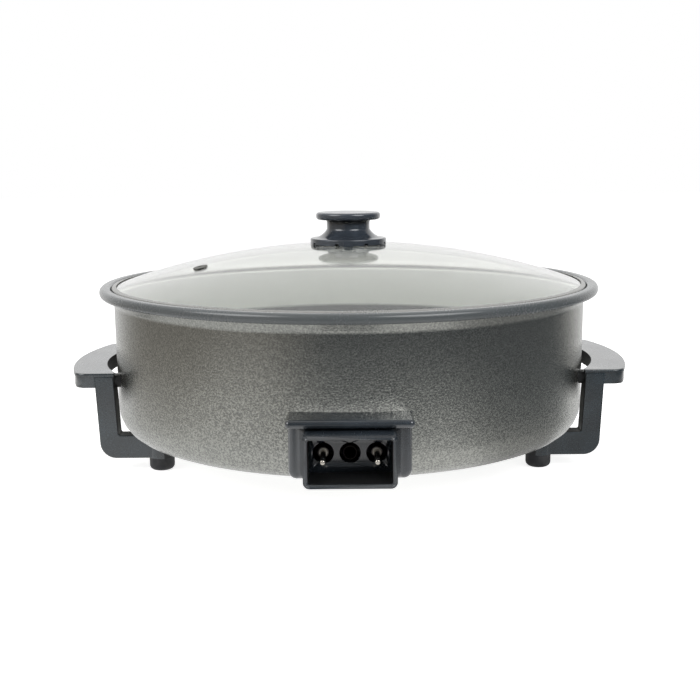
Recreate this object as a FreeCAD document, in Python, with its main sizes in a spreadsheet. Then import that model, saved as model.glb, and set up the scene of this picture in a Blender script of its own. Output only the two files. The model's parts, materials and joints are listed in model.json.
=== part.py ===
import FreeCAD, Part
import math
import os
from types import SimpleNamespace

import Sketcher

# Electric pizza maker: a round pan with a glass lid on a painted casing, two handles that run down
# into legs, and a guard round the terminals of the plug-in thermostat. Millimetres. The worktop is
# z = 0, the terminals face -Y, and every piece is drawn about the pan's own vertical axis.

SIZES = {
    # The rim's outer radius sets the size of the whole pan
    "rim_radius": 210.0,
    # Casing: thin painted steel, dished at the middle, flared at the top to carry the pan
    "casing_inset": 11.6,
    "casing_taper": 0.6,
    "casing_sheet": 1.2,
    "casing_base": 22.7,
    "casing_corner": 24.0,
    "dish_radius": 26.0,
    "dish_slope": 7.0,
    "dish_depth": 7.0,
    "dish_round": 3.0,
    "flare_start": 134.6,
    "flare_end": 136.6,
    "flare_foot_round": 6.0,
    "flare_head_round": 2.2,
    "casing_top": 142.4,
    # Cooking pan: pressed aluminium with a rolled rim and a step for the lid
    "rim_width": 9.5,
    "rim_top": 147.0,
    "rim_bead": 8.0,
    "rim_round": 3.6,
    "rim_inner_round": 3.0,
    "rim_gap": 2.5,
    "pan_sheet": 2.0,
    "pan_floor": 3.0,
    "pan_corner": 28.0,
    "pan_gap": 3.6,
    "seat_round": 1.6,
    # Heater and thermostat well
    "terminal_height": 48.4,
    "terminal_spacing": 37.4,
    "sheath_radius": 3.6,
    "sheath_proud": 2.6,
    "ring_radius": 112.0,
    "ring_bend": 20.0,
    "pin_radius": 2.0,
    "pin_length": 28.0,
    "pin_tip": 1.2,
    "pin_seat": 1.0,
    "pin_shank_radius": 1.6,
    "insulator_radius": 3.0,
    "insulator_length": 6.5,
    "sleeve_radius": 5.0,
    "sleeve_bore": 4.2,
    "sleeve_length": 101.0,
    "sleeve_end": 2.0,
    "sleeve_setback": 1.0,
    "spreader_radius": 150.0,
    "spreader_sheet": 2.0,
    "reflector_radius": 150.0,
    "reflector_sheet": 0.8,
    "reflector_edge": 6.0,
    "reflector_round": 3.0,
    "stud_radius": 3.0,
    "stud_flange": 9.0,
    "stud_end": 24.2,
    "stud_chamfer": 0.6,
    "spacer_radius": 7.0,
    "washer_radius": 8.5,
    "washer_sheet": 1.2,
    "centre_nut_flats": 10.0,
    "centre_nut_height": 4.0,
    # Guard round the terminals
    "guard_half_width": 43.0,
    "guard_base": 31.6,
    "guard_top": 76.0,
    "guard_stand": 13.6,
    "guard_round": 6.0,
    "guard_edge": 4.5,
    "ledge_height": 6.2,
    "ledge_overhang": 10.0,
    "ledge_side": 1.3,
    "ledge_round": 2.9,
    "shroud_half_width": 32.0,
    "shroud_height": 36.8,
    "shroud_length": 22.0,
    "shroud_wall": 3.1,
    "shroud_round": 4.5,
    "shroud_top_round": 3.0,
    "mouth_round": 1.6,
    "guard_panel_stand": 4.6,
    "guard_hole_radius": 7.5,
    "guard_screw_spacing": 75.0,
    "guard_screw_height": 57.0,
    "guard_screw_depth": 12.0,
    "window_round": 4.0,
    # Handles and legs
    "grip_top": 81.0,
    "grip_thickness": 11.8,
    "grip_skin": 2.4,
    "grip_lip": 0.7,
    "grip_stand": 36.2,
    "grip_half_length": 75.0,
    "grip_outer_arc": 205.0,
    "grip_corner": 11.0,
    "grip_edge": 1.2,
    "finger_gap": 9.1,
    "grip_inner_arc": 149.0,
    "grip_inner_length": 70.0,
    "grip_block_start": 60.0,
    "grip_block_end": 71.0,
    "leg_gap": 3.42,
    "leg_lean": 1.8,
    "leg_width": 15.8,
    "leg_depth": 14.0,
    "leg_base": 10.5,
    "leg_arm_top": 30.0,
    "leg_corner": 13.0,
    "leg_edge": 1.2,
    "leg_arm_round": 1.5,
    "foot_inset": 43.9,
    "foot_radius": 10.2,
    "foot_round": 4.0,
    "foot_recess_radius": 5.0,
    "foot_recess": 6.0,
    # Glass lid with its steel band, vent and knob
    "glass_top": 178.8,
    "glass_edge_height": 145.6,
    "glass_inset": 1.8,
    "glass": 4.0,
    "glass_hole_radius": 4.0,
    "band_sheet": 0.6,
    "band_lip": 6.5,
    "band_gap": 0.4,
    "band_top_round": 1.4,
    "band_under_round": 1.0,
    "vent_x": -119.5,
    "vent_y": -58.0,
    "vent_flange": 6.0,
    "vent_tube": 2.8,
    "vent_bore": 1.9,
    "vent_sheet": 0.9,
    "vent_round": 0.6,
    "vent_crown": 0.3,
    "vent_rivet_flange": 5.0,
    "knob_radius": 27.3,
    "knob_height": 22.05,
    "knob_disc": 6.4,
    "knob_round": 2.4,
    "knob_neck": 18.2,
    "knob_flare_height": 7.65,
    "knob_neck_round": 2.5,
    "knob_crown": 0.4,
    "knob_flare": 30.6,
    "knob_flare_arc": 15.0,
    "knob_base_radius": 32.35,
    "knob_base_height": 4.4,
    "knob_base_round": 1.0,
    "knob_notch_width": 3.6,
    "knob_notch_height": 1.8,
    "knob_notch_turn": 27.5,
    "knob_lug_width": 9.0,
    "knob_lug": 2.6,
    "knob_lug_proud": 0.4,
    "knob_lug_drop": 0.5,
    "gasket_radius": 22.0,
    "gasket_sheet": 1.0,
    "knob_washer_radius": 11.0,
    "knob_cap": 6.6,
    "knob_thread_spare": 3.5,
    # Fasteners shared by several joints
    "screw_radius": 2.0,
    "screw_head_radius": 3.8,
    "screw_head_height": 2.4,
    "screw_grip": 9.0,
    "nut_flats": 7.0,
    "nut_height": 3.2,
    "screw_past_nut": 1.0,
    # Clearances, and how far a cut runs past the material that it takes away
    "seat_clearance": 0.3,
    "lid_clearance": 0.5,
    "hole_clearance": 0.3,
    "bore_clearance": 0.05,
    "glass_clearance": 0.15,
    "head_clearance": 0.1,
    "slot_clearance": 1.0,
    "gasket_clearance": 3.0,
    "knob_hole_clearance": 1.5,
    "vent_hole_clearance": 1.0,
    "cut_past": 2.0,
}
KNOB_NOTCHES = 8
TOLERANCE = 0.01


class Formula:
    """A size worked out from the sheet: its value, and the text that binds it to the sheet."""

    def __init__(self, value, text):
        self.value = value
        self.text = text

    def __add__(self, other):
        return combine(self, other, "+", self.value + amount(other))

    def __radd__(self, other):
        return combine(other, self, "+", amount(other) + self.value)

    def __sub__(self, other):
        return combine(self, other, "-", self.value - amount(other))

    def __rsub__(self, other):
        return combine(other, self, "-", amount(other) - self.value)

    def __mul__(self, other):
        return combine(self, other, "*", self.value * amount(other))

    def __rmul__(self, other):
        return combine(other, self, "*", amount(other) * self.value)

    def __truediv__(self, other):
        return combine(self, other, "/", self.value / amount(other))

    def __neg__(self):
        return Formula(-self.value, f"(0 - {self.text})")


def amount(size):
    """The number of a formula or of a plain number."""
    return size.value if isinstance(size, Formula) else float(size)


def wording(size):
    """The text of a formula or of a plain number."""
    return size.text if isinstance(size, Formula) else repr(float(size))


def combine(left, right, sign, value):
    return Formula(value, f"({wording(left)} {sign} {wording(right)})")


def root(size):
    return Formula(math.sqrt(size.value), f"sqrt({size.text})")


def chord(radius, offset):
    """How far a circle of this radius reaches beside its own axis, at an offset from it."""
    return root(radius * radius - offset * offset)


def mitre(thickness, along, across):
    """How far the corner of one face of a bent sheet lies past the corner of its other face.

    The sheet bends into a slope that goes along in its old direction while it goes across.
    """
    return thickness * (root(along * along + across * across) - along) / across


def bind(target, name, size):
    target.setExpression(name, wording(size))


doc = FreeCAD.newDocument("PizzaMaker")
sheet = doc.addObject("Spreadsheet::Sheet", "Sizes")
for row, (name, value) in enumerate(SIZES.items(), start=1):
    sheet.set(f"A{row}", name)
    sheet.set(f"B{row}", str(value))
    sheet.setAlias(f"B{row}", name)
doc.recompute()
s = SimpleNamespace(**{name: Formula(value, f"Sizes.{name}") for name, value in SIZES.items()})

# Sizes that follow from others
casing_radius = s.rim_radius - s.casing_inset
lid_seat_radius = s.rim_radius - s.rim_width
lid_radius = lid_seat_radius - s.lid_clearance
glass_edge_radius = lid_radius - s.glass_inset
sheath_reach = casing_radius + s.sheath_proud
guard_panel = casing_radius + s.guard_panel_stand
guard_face = casing_radius + s.guard_stand
ledge_reach = guard_face + s.ledge_overhang
shroud_reach = guard_face + s.shroud_length
grip_reach = casing_radius + s.grip_stand
grip_inner_reach = casing_radius + s.finger_gap
foot_centre = casing_radius - s.foot_inset
leg_centre = s.grip_half_length - s.leg_depth / 2
leg_top_inside = chord(casing_radius, leg_centre) + s.leg_gap
leg_foot_inside = leg_top_inside - s.leg_lean
half_spacing = s.terminal_spacing / 2
pan_under = s.terminal_height + s.sheath_radius + s.spreader_sheet
pan_top = pan_under + s.pan_floor
spreader_under = pan_under - s.spreader_sheet
casing_inner = casing_radius - s.casing_sheet
pan_outer = casing_inner - s.pan_gap
pan_inner = pan_outer - s.pan_sheet
roll_inner = lid_seat_radius + s.pan_sheet
rim_under = s.rim_top - s.rim_bead
dish_under = s.casing_base + s.dish_depth
dish_top = dish_under + s.casing_sheet
casing_floor = s.casing_base + s.casing_sheet
reflector_top = dish_top + s.reflector_sheet
shift = (shroud_reach - s.rim_radius) / 2
glass_rise = s.glass_top - s.glass_edge_height
glass_arc = (glass_edge_radius * glass_edge_radius + glass_rise * glass_rise) / (2 * glass_rise)
glass_centre = s.glass_top - glass_arc
inner_arc = glass_arc - s.glass
glass_under = glass_centre + chord(inner_arc, glass_edge_radius)
band_under = glass_under - s.band_gap - s.band_sheet
lid_seat = band_under - s.seat_clearance
grip_under = s.grip_top - s.grip_thickness
grip_middle = grip_under + s.grip_thickness / 2
grip_plate = s.grip_thickness - s.grip_skin
ROOT_THREE = Formula(math.sqrt(3), "sqrt(3)")

NODES = []


def keep(node, label, turn=0.0, side=None, up=None, forward=None):
    """Names a sub-part and moves it with the pan's axis to its place in the part's frame."""
    node.Label = label
    node.Placement = FreeCAD.Placement(
        FreeCAD.Vector(), FreeCAD.Rotation(FreeCAD.Vector(0, 0, 1), turn)
    )
    bind(node, "Placement.Base.y", shift if forward is None else shift - forward)
    if side is not None:
        bind(node, "Placement.Base.x", side)
    if up is not None:
        bind(node, "Placement.Base.z", up)
    NODES.append(node)
    return node


def lay_forward(node):
    """Turns a piece that was drawn standing on z = 0 so that it points to -Y."""
    node.Placement = FreeCAD.Placement(
        node.Placement.Base, FreeCAD.Rotation(FreeCAD.Vector(1, 0, 0), 90.0)
    )


def new_body(name):
    return doc.addObject("PartDesign::Body", name)


def plane(body, role):
    return next(face for face in body.Origin.OriginFeatures if face.Role == role)


def new_sketch(body, role, name, lift=None, turn=0.0):
    """A sketch on one of the body's own planes, lifted along its normal, turned about its y."""
    sketch = body.newObject("Sketcher::SketchObject", name)
    sketch.AttachmentSupport = [(plane(body, role), "")]
    sketch.MapMode = "FlatFace"
    if turn:
        sketch.AttachmentOffset = FreeCAD.Placement(
            FreeCAD.Vector(), FreeCAD.Rotation(FreeCAD.Vector(0, 1, 0), turn)
        )
    if lift is not None:
        bind(sketch, "AttachmentOffset.Base.z", lift)
    return sketch


def pin_point(sketch, geometry, point, x, y):
    """Fixes a point of a sketch at x, y from its origin, each tied to the sheet or 0."""
    for size, word, axis in ((x, "DistanceX", -2), (y, "DistanceY", -1)):
        if amount(size) or isinstance(size, Formula):
            index = sketch.addConstraint(
                Sketcher.Constraint(word, -1, 1, geometry, point, amount(size))
            )
            bind(sketch, f"Constraints[{index}]", size)
        else:
            sketch.addConstraint(Sketcher.Constraint("PointOnObject", geometry, point, axis))


def set_radius(sketch, geometry, radius):
    index = sketch.addConstraint(Sketcher.Constraint("Radius", geometry, amount(radius)))
    bind(sketch, f"Constraints[{index}]", radius)


def vector(x, y):
    return FreeCAD.Vector(x, y, 0)


def short_arc(centre, radius, start, end):
    """The arc of under a half turn between two points, with its end that comes first."""
    first = math.atan2(start.y - centre.y, start.x - centre.x)
    last = math.atan2(end.y - centre.y, end.x - centre.x)
    forward = (last - first) % (2 * math.pi) < math.pi
    if not forward:
        first, last = last, first
    if last < first:
        last += 2 * math.pi
    circle = Part.Circle(centre, FreeCAD.Vector(0, 0, 1), radius)
    return Part.ArcOfCircle(circle, first, last), forward


def outline(sketch, points, bows=None):
    """Draws a closed outline through corners (x, y) or (x, y, round), tied to the sheet.

    A corner with a round gets an arc tangent to both its sides. bows gives the sides that are
    arcs themselves, from a corner's number to (radius, side), where side is 1 if the arc's
    centre lies to the left of the way from that corner to the next, and -1 if to the right.
    """
    bows = bows or {}
    count = len(points)
    corners = [vector(amount(p[0]), amount(p[1])) for p in points]
    starts, ends, rounds = list(corners), list(corners), {}
    for i, point in enumerate(points):
        if len(point) < 3:
            continue
        back = (corners[i - 1] - corners[i]).normalize()
        ahead = (corners[(i + 1) % count] - corners[i]).normalize()
        half = back.getAngle(ahead) / 2
        run = amount(point[2]) / math.tan(half)
        ends[i] = corners[i] + back * run
        starts[i] = corners[i] + ahead * run
        middle = corners[i] + (back + ahead).normalize() * (amount(point[2]) / math.sin(half))
        arc, forward = short_arc(middle, amount(point[2]), ends[i], starts[i])
        rounds[i] = (sketch.addGeometry(arc), forward)
    sides = []
    for i in range(count):
        after = (i + 1) % count
        if i in bows:
            radius, side = bows[i]
            along = ends[after] - starts[i]
            left = vector(-along.y, along.x).normalize()
            depth = math.sqrt(amount(radius) ** 2 - (along.Length / 2) ** 2)
            middle = (starts[i] + ends[after]) * 0.5 + left * (side * depth)
            arc, forward = short_arc(middle, amount(radius), starts[i], ends[after])
            sides.append((sketch.addGeometry(arc), forward))
            set_radius(sketch, sides[-1][0], radius)
        else:
            sides.append((sketch.addGeometry(Part.LineSegment(starts[i], ends[after])), True))
    for i, point in enumerate(points):
        before, after = sides[i - 1], sides[i]
        arriving = (before[0], 2 if before[1] else 1)
        leaving = (after[0], 1 if after[1] else 2)
        if i in rounds:
            arc, forward = rounds[i]
            corner = sketch.addGeometry(Part.Point(corners[i]), True)
            pin_point(sketch, corner, 1, point[0], point[1])
            sketch.addConstraint(Sketcher.Constraint("PointOnObject", corner, 1, before[0]))
            sketch.addConstraint(Sketcher.Constraint("PointOnObject", corner, 1, after[0]))
            entry, leave = (1, 2) if forward else (2, 1)
            sketch.addConstraint(Sketcher.Constraint("Tangent", *arriving, arc, entry))
            sketch.addConstraint(Sketcher.Constraint("Tangent", arc, leave, *leaving))
            set_radius(sketch, arc, point[2])
        else:
            sketch.addConstraint(Sketcher.Constraint("Coincident", *arriving, *leaving))
            pin_point(sketch, leaving[0], leaving[1], point[0], point[1])


def circle(sketch, x, y, radius):
    middle = vector(amount(x), amount(y))
    shape = Part.Circle(middle, FreeCAD.Vector(0, 0, 1), amount(radius))
    geometry = sketch.addGeometry(shape)
    pin_point(sketch, geometry, 3, x, y)
    set_radius(sketch, geometry, radius)


def rectangle(left, right, low, high, low_round=None, high_round=None):
    """Corners of an upright rectangle, with the rounds of its low and high corners."""
    low_end = () if low_round is None else (low_round,)
    high_end = () if high_round is None else (high_round,)
    return [
        (left, low) + low_end,
        (right, low) + low_end,
        (right, high) + high_end,
        (left, high) + high_end,
    ]


def revolve(body, name, points, bows=None, kind="PartDesign::Revolution"):
    """A turned form: an outline of radii and heights carried once round the upright axis."""
    sketch = new_sketch(body, "XZ_Plane", f"{name}_outline")
    outline(sketch, points, bows)
    feature = body.newObject(kind, name)
    feature.Profile = sketch
    feature.ReferenceAxis = (sketch, ["V_Axis"])
    feature.Angle = 360.0
    return feature


def extrude(body, name, sketch, length, reverse=False, kind="PartDesign::Pad"):
    feature = body.newObject(kind, name)
    feature.Profile = sketch
    feature.Length = amount(length)
    feature.Reversed = reverse
    bind(feature, "Length", length)
    return feature


def cut(body, name, sketch, length, reverse=False):
    return extrude(body, name, sketch, length, reverse, "PartDesign::Pocket")


def round_edges(body, name, radius, test):
    """Fillets the edges of the body so far whose ends and middle all pass the test."""
    doc.recompute()
    base = body.Tip
    names = []
    for number, edge in enumerate(base.Shape.Edges, start=1):
        middle = edge.valueAt((edge.FirstParameter + edge.LastParameter) / 2)
        if all(test(point) for point in [vertex.Point for vertex in edge.Vertexes] + [middle]):
            names.append(f"Edge{number}")
    fillet = body.newObject("PartDesign::Fillet", name)
    fillet.Base = (base, names)
    fillet.Radius = amount(radius)
    bind(fillet, "Radius", radius)
    return fillet


def near(value, size):
    return abs(value - amount(size)) < TOLERANCE


def turned(name, points, bows=None):
    """A body that is one turned form."""
    body = new_body(name)
    revolve(body, f"{name}_form", points, bows)
    return body


def ring(inner, outer, low, high):
    """The section of a ring or tube."""
    return [(inner, low), (outer, low), (outer, high), (inner, high)]


# Casing
casing = new_body("outer_casing")
lower_radius = casing_radius - s.casing_taper


def wall_inside(height):
    """The inner radius of the casing's tapered wall at a height."""
    drop = (s.flare_start - height) / (s.flare_start - s.casing_base)
    return casing_inner - s.casing_taper * drop


flare_radius = roll_inner + s.hole_clearance * 2 + s.casing_sheet
flare_bend = mitre(s.casing_sheet, s.flare_end - s.flare_start, flare_radius - casing_radius)
dish_bend = mitre(s.casing_sheet, s.dish_slope, s.dish_depth)
revolve(casing, "casing_shell", [
    (0, dish_under),
    (s.dish_radius, dish_under, s.dish_round),
    (s.dish_radius + s.dish_slope, s.casing_base, s.dish_round + s.casing_sheet),
    (lower_radius, s.casing_base, s.casing_corner),
    (casing_radius, s.flare_start, s.flare_foot_round),
    (flare_radius, s.flare_end, s.flare_head_round),
    (flare_radius, s.casing_top),
    (flare_radius - s.casing_sheet, s.casing_top),
    (flare_radius - s.casing_sheet, s.flare_end + flare_bend, s.flare_head_round - s.casing_sheet),
    (casing_inner, s.flare_start + flare_bend, s.flare_foot_round + s.casing_sheet),
    (lower_radius - s.casing_sheet, casing_floor, s.casing_corner - s.casing_sheet),
    (s.dish_radius + s.dish_slope + dish_bend, casing_floor, s.dish_round),
    (s.dish_radius + dish_bend, dish_top, s.dish_round + s.casing_sheet),
    (0, dish_top),
])
floor_holes = new_sketch(casing, "XY_Plane", "casing_floor_holes")
circle(floor_holes, 0, 0, s.stud_radius + s.hole_clearance)
for across in (-1, 1):
    for along in (-1, 1):
        circle(floor_holes, foot_centre * across, leg_centre * along, s.screw_radius + s.hole_clearance)
cut(casing, "casing_floor_cut", floor_holes, dish_top + s.cut_past, reverse=True)
window = new_sketch(casing, "XZ_Plane", "casing_window")
window_side = half_spacing + s.guard_hole_radius
outline(window, rectangle(-window_side, window_side, s.terminal_height - s.guard_hole_radius,
                          s.terminal_height + s.guard_hole_radius, s.window_round, s.window_round))
for across in (-1, 1):
    circle(window, s.guard_screw_spacing * across / 2, s.guard_screw_height,
           s.screw_radius + s.hole_clearance)
cut(casing, "casing_window_cut", window, s.rim_radius, reverse=True)
block_middle = (s.grip_block_start + s.grip_block_end) / 2
screw_angle = math.degrees(math.asin(block_middle.value / casing_radius.value))
for number, angle in enumerate((screw_angle, -screw_angle, 180 + screw_angle, 180 - screw_angle)):
    hole = new_sketch(casing, "YZ_Plane", f"casing_handle_hole_{number}", turn=angle)
    circle(hole, 0, grip_middle, s.screw_radius + s.hole_clearance)
    cut(casing, f"casing_handle_cut_{number}", hole, s.rim_radius, reverse=True)
keep(casing, "outer_casing")

# Cooking pan
pan = turned("cooking_pan", [
    (0, pan_under),
    (pan_outer, pan_under, s.pan_corner + s.pan_sheet),
    (pan_outer, lid_seat - s.pan_sheet),
    (roll_inner, lid_seat - s.pan_sheet, s.seat_round),
    (roll_inner, s.rim_top - s.pan_sheet, s.rim_round - s.pan_sheet),
    (s.rim_radius - s.pan_sheet, s.rim_top - s.pan_sheet, s.rim_round - s.pan_sheet),
    (s.rim_radius - s.pan_sheet, rim_under + s.pan_sheet, s.rim_round - s.pan_sheet),
    (roll_inner + s.rim_gap, rim_under + s.pan_sheet),
    (roll_inner + s.rim_gap, rim_under),
    (s.rim_radius, rim_under, s.rim_round),
    (s.rim_radius, s.rim_top, s.rim_round),
    (lid_seat_radius, s.rim_top, s.rim_inner_round),
    (lid_seat_radius, lid_seat),
    (pan_inner, lid_seat, s.seat_round),
    (pan_inner, pan_top, s.pan_corner),
    (0, pan_top),
])
keep(pan, "cooking_pan")

# Heat spreader
spreader = new_body("heat_spreader")
disc = new_sketch(spreader, "XY_Plane", "spreader_disc", lift=spreader_under)
circle(disc, 0, 0, s.spreader_radius)
circle(disc, 0, 0, s.stud_flange + s.hole_clearance)
extrude(spreader, "spreader_plate", disc, s.spreader_sheet)
slot = new_sketch(spreader, "XY_Plane", "spreader_slot", lift=spreader_under)
slot_side = s.sleeve_radius + s.slot_clearance
sleeve_mouth = guard_panel - s.sleeve_setback
sleeve_back = sleeve_mouth - s.sleeve_length
outline(slot, rectangle(-slot_side, slot_side, -s.spreader_radius - s.cut_past,
                        s.slot_clearance - sleeve_back))
cut(spreader, "spreader_slot_cut", slot, s.spreader_sheet, reverse=True)
keep(spreader, "heat_spreader")

# Heating element: one sheathed tube bent to a horseshoe, both ends out to the front
element = new_body("heating_element")
reach = chord(s.ring_radius + s.ring_bend, half_spacing + s.ring_bend)
spine = new_sketch(element, "XY_Plane", "element_path", lift=s.terminal_height)
bend_x, bend_y = half_spacing.value + s.ring_bend.value, -reach.value
touch = vector(bend_x, bend_y) * (s.ring_radius.value / (s.ring_radius.value + s.ring_bend.value))
path = []
for across in (-1, 1):
    middle = vector(bend_x * across, bend_y)
    straight = spine.addGeometry(Part.LineSegment(
        vector(half_spacing.value * across, -sheath_reach.value),
        vector(half_spacing.value * across, bend_y)))
    arc, forward = short_arc(middle, s.ring_bend.value, vector(half_spacing.value * across, bend_y),
                             vector(touch.x * across, touch.y))
    path.append((straight, spine.addGeometry(arc), forward))
ring_circle = Part.Circle(vector(0, 0), FreeCAD.Vector(0, 0, 1), s.ring_radius.value)
start_angle = math.atan2(touch.y, touch.x)
horseshoe = spine.addGeometry(
    Part.ArcOfCircle(ring_circle, start_angle, math.pi - start_angle))
for across, (straight, arc, forward) in zip((-1, 1), path):
    pin_point(spine, straight, 1, half_spacing * across, -sheath_reach)
    spine.addConstraint(Sketcher.Constraint("Vertical", straight))
    entry, leave = (1, 2) if forward else (2, 1)
    spine.addConstraint(Sketcher.Constraint("Tangent", straight, 2, arc, entry))
    spine.addConstraint(Sketcher.Constraint("Tangent", arc, leave, horseshoe, 1 if across > 0 else 2))
    set_radius(spine, arc, s.ring_bend)
pin_point(spine, horseshoe, 3, 0, 0)
set_radius(spine, horseshoe, s.ring_radius)
section = new_sketch(element, "XZ_Plane", "element_section", lift=sheath_reach)
circle(section, -half_spacing, s.terminal_height, s.sheath_radius)
tube = element.newObject("PartDesign::AdditivePipe", "element_tube")
tube.Profile = section
tube.Spine = (spine, [])
sockets = new_sketch(element, "XZ_Plane", "element_sockets", lift=sheath_reach)
for across in (-1, 1):
    circle(sockets, half_spacing * across, s.terminal_height, s.insulator_radius + s.bore_clearance)
cut(element, "element_socket_cut", sockets, s.insulator_length)
keep(element, "heating_element")

# Terminal pins in their ceramic bushes
for side, across in (("left", -1), ("right", 1)):
    bush = turned(f"terminal_insulator_{side}", ring(
        s.pin_shank_radius + s.bore_clearance, s.insulator_radius, s.bore_clearance,
        s.insulator_length))
    keep(bush, f"terminal_insulator_{side}", side=half_spacing * across, up=s.terminal_height,
         forward=sheath_reach - s.insulator_length)
    lay_forward(bush)
    pin_end = s.insulator_length + s.pin_length
    pin_shoulder = s.insulator_length + s.seat_clearance
    pin = turned(f"terminal_pin_{side}", [
        (0, s.pin_seat),
        (s.pin_shank_radius, s.pin_seat),
        (s.pin_shank_radius, pin_shoulder),
        (s.pin_radius, pin_shoulder),
        (s.pin_radius, pin_end, s.pin_tip),
        (0, pin_end),
    ])
    keep(pin, f"terminal_pin_{side}", side=half_spacing * across, up=s.terminal_height,
         forward=sheath_reach - s.insulator_length)
    lay_forward(pin)

# Thermostat well: a blind sleeve that lies under the middle of the pan
sleeve = turned("probe_sleeve", [
    (0, 0), (s.sleeve_radius, 0), (s.sleeve_radius, s.sleeve_length),
    (s.sleeve_bore, s.sleeve_length), (s.sleeve_bore, s.sleeve_end), (0, s.sleeve_end)])
keep(sleeve, "probe_sleeve", up=s.terminal_height, forward=sleeve_back)
lay_forward(sleeve)

# Heat reflector and the stud that draws pan and casing together
reflector = turned("heat_reflector", [
    (s.stud_radius + s.hole_clearance, dish_top),
    (s.reflector_radius, dish_top, s.reflector_round),
    (s.reflector_radius, dish_top + s.reflector_edge),
    (s.reflector_radius - s.reflector_sheet, dish_top + s.reflector_edge),
    (s.reflector_radius - s.reflector_sheet, reflector_top, s.reflector_round - s.reflector_sheet),
    (s.stud_radius + s.hole_clearance, reflector_top),
])
keep(reflector, "heat_reflector")
spacer = turned("centre_spacer", ring(
    s.stud_radius + s.hole_clearance, s.spacer_radius, reflector_top, spreader_under))
keep(spacer, "centre_spacer")
stud = turned("centre_stud", [
    (0, s.stud_end), (s.stud_radius - s.stud_chamfer, s.stud_end),
    (s.stud_radius, s.stud_end + s.stud_chamfer),
    (s.stud_radius, spreader_under), (s.stud_flange, spreader_under), (s.stud_flange, pan_under),
    (0, pan_under)])
keep(stud, "centre_stud")
washer = turned("centre_washer", ring(
    s.stud_radius + s.hole_clearance, s.washer_radius, dish_under - s.washer_sheet, dish_under))
keep(washer, "centre_washer")


def hexagon_nut(name, flats, height, bore, low=None):
    """A hexagon nut with two flats square to Y, standing on z = 0 or on the height low."""
    nut = new_body(name)
    plan = new_sketch(nut, "XY_Plane", f"{name}_plan", lift=low)
    across = flats / ROOT_THREE
    outline(plan, [
        (across, 0), (across / 2, flats / 2), (-across / 2, flats / 2),
        (-across, 0), (-across / 2, -flats / 2), (across / 2, -flats / 2)])
    circle(plan, 0, 0, bore)
    extrude(nut, f"{name}_form", plan, height)
    return nut


centre_nut = hexagon_nut("centre_nut", s.centre_nut_flats, s.centre_nut_height,
                         s.stud_radius + s.bore_clearance,
                         dish_under - s.washer_sheet - s.centre_nut_height)
keep(centre_nut, "centre_nut")


def saddle(body, name):
    """Cuts a piece back to the casing's outside, a seat clearance away from it."""
    gap = s.seat_clearance
    return revolve(body, name, [
        (0, s.casing_base - gap),
        (lower_radius + gap, s.casing_base - gap, s.casing_corner + gap),
        (casing_radius + gap, s.flare_start),
        (0, s.flare_start),
    ], kind="PartDesign::Groove")


# Guard: a block on the wall, a ledge over it, and a deep shroud round the terminals
guard = new_body("socket_guard")
guard_screw_seat = chord(wall_inside(s.guard_screw_height - s.screw_head_radius),
                         s.guard_screw_spacing / 2 + s.screw_head_radius) - s.head_clearance
guard_root = chord(casing_radius, s.guard_half_width) - s.cut_past
front = new_sketch(guard, "XZ_Plane", "guard_front", lift=guard_root)
outline(front, rectangle(-s.guard_half_width, s.guard_half_width, s.guard_base, s.guard_top,
                         s.guard_round, s.ledge_round))
extrude(guard, "guard_block", front, guard_face - guard_root)
round_edges(guard, "guard_block_edges", s.guard_edge,
            lambda p: near(p.y, -guard_face) and p.z < s.guard_top.value - s.ledge_height.value)
brow = new_sketch(guard, "XZ_Plane", "guard_brow", lift=guard_root)
brow_side = s.guard_half_width + s.ledge_side
outline(brow, rectangle(-brow_side, brow_side, s.guard_top - s.ledge_height, s.guard_top,
                        s.ledge_round, s.ledge_round))
extrude(guard, "guard_ledge", brow, ledge_reach - guard_root)
round_edges(guard, "guard_ledge_edges", s.ledge_round, lambda p: near(p.y, -ledge_reach))
hood = new_sketch(guard, "XZ_Plane", "guard_hood", lift=guard_root)
outline(hood, rectangle(-s.shroud_half_width, s.shroud_half_width, s.guard_base,
                        s.guard_base + s.shroud_height, s.shroud_round, s.shroud_top_round))
extrude(guard, "guard_shroud", hood, shroud_reach - guard_root)
mouth = new_sketch(guard, "XZ_Plane", "guard_mouth", lift=guard_panel)
mouth_side = s.shroud_half_width - s.shroud_wall
outline(mouth, rectangle(-mouth_side, mouth_side, s.guard_base + s.shroud_wall,
                         s.guard_base + s.shroud_height - s.shroud_wall,
                         s.mouth_round, s.mouth_round))
cut(guard, "guard_mouth_cut", mouth, shroud_reach - guard_panel + s.cut_past, reverse=True)
eyes = new_sketch(guard, "XZ_Plane", "guard_eyes", lift=guard_root - s.cut_past)
for across in (-1, 1):
    circle(eyes, half_spacing * across, s.terminal_height, s.guard_hole_radius)
circle(eyes, 0, s.terminal_height, s.guard_hole_radius)
cut(guard, "guard_eye_cut", eyes, guard_panel - guard_root + s.cut_past * 2, reverse=True)
pilots = new_sketch(guard, "XZ_Plane", "guard_pilots")
for across in (-1, 1):
    circle(pilots, s.guard_screw_spacing * across / 2, s.guard_screw_height,
           s.screw_radius + s.bore_clearance)
cut(guard, "guard_pilot_cut", pilots, guard_screw_seat + s.guard_screw_depth, reverse=True)
saddle(guard, "guard_saddle")
keep(guard, "socket_guard")


def screw(name, length):
    """A pan-head screw that stands on z = 0: its shank points up and its head lies below."""
    head = doc.addObject("Part::Cylinder", f"{name}_head")
    bind(head, "Radius", s.screw_head_radius)
    bind(head, "Height", s.screw_head_height)
    bind(head, "Placement.Base.z", -s.screw_head_height)
    shank = doc.addObject("Part::Cylinder", f"{name}_shank")
    bind(shank, "Radius", s.screw_radius)
    bind(shank, "Height", length)
    whole = doc.addObject("Part::Fuse", name)
    whole.Base = head
    whole.Tool = shank
    return whole


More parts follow.
